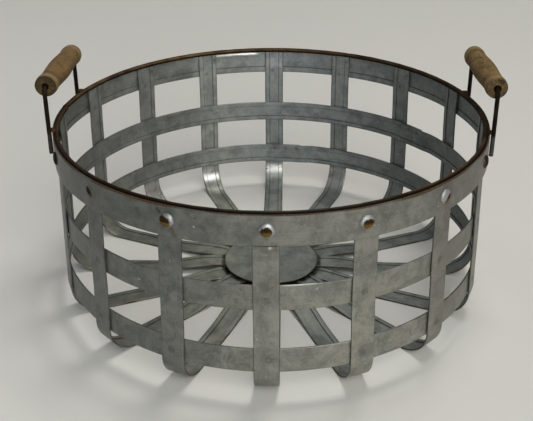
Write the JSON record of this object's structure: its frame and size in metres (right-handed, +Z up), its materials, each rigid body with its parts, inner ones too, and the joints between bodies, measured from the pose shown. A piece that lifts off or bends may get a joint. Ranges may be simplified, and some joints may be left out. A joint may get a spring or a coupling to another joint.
{
  "type": "round metal strap basket",
  "caption": "Round open basket of weathered galvanised steel strips, with a riveted top band, a rusted wire rim and wire handles with turned wooden grips",
  "frame": {"origin": "on the ground below the middle of the base", "axes": "+Z up out of the open top, +X from the left handle to the right handle, +Y from the front strap to the back strap"},
  "size_m": [0.3982, 0.3926, 0.2123],
  "materials": {
    "galvanised_sheet": "weathered zinc coat with mottled crystals and rust at the cut edges",
    "rusted_wire": "bare steel wire under dark brown rust",
    "rivet_steel": "bright domed heads with rust in the lower half",
    "weathered_wood": "bare turned wood, greyed and worn"
  },
  "bodies": {
    "basket": {"strap_01": "galvanised_sheet", "strap_02": "galvanised_sheet", "strap_03": "galvanised_sheet", "strap_04": "galvanised_sheet", "strap_05": "galvanised_sheet", "strap_06": "galvanised_sheet", "strap_07": "galvanised_sheet", "strap_08": "galvanised_sheet", "strap_09": "galvanised_sheet", "strap_10": "galvanised_sheet", "strap_11": "galvanised_sheet", "strap_12": "galvanised_sheet", "strap_13": "galvanised_sheet", "strap_14": "galvanised_sheet", "strap_15": "galvanised_sheet", "strap_16": "galvanised_sheet", "rivet_01": "rivet_steel", "rivet_02": "rivet_steel", "rivet_03": "rivet_steel", "rivet_04": "rivet_steel", "rivet_05": "rivet_steel", "rivet_06": "rivet_steel", "rivet_07": "rivet_steel", "rivet_08": "rivet_steel", "rivet_09": "rivet_steel", "rivet_10": "rivet_steel", "rivet_11": "rivet_steel", "rivet_12": "rivet_steel", "rivet_13": "rivet_steel", "rivet_14": "rivet_steel", "rivet_15": "rivet_steel", "rivet_16": "rivet_steel", "rim_wire": "rusted_wire", "top_band": "galvanised_sheet", "middle_hoop": "galvanised_sheet", "lower_hoop": "galvanised_sheet", "centre_disc": "galvanised_sheet", "left_handle_wire": "rusted_wire", "right_handle_wire": "rusted_wire"},
    "left_grip": {"left_grip": "weathered_wood"},
    "right_grip": {"right_grip": "weathered_wood"}
  },
  "joints": [
    {"name": "left_grip_spin", "type": "hinge", "parent": "basket", "child": "left_grip", "pos_m": [-0.18881, 0.00396, 0.2023], "axis": [-0.0209, -0.9998, 0], "continuous": true},
    {"name": "right_grip_spin", "type": "hinge", "parent": "basket", "child": "right_grip", "pos_m": [0.18881, 0.00396, 0.2023], "axis": [-0.0209, 0.9998, 0], "continuous": true}
  ]
}
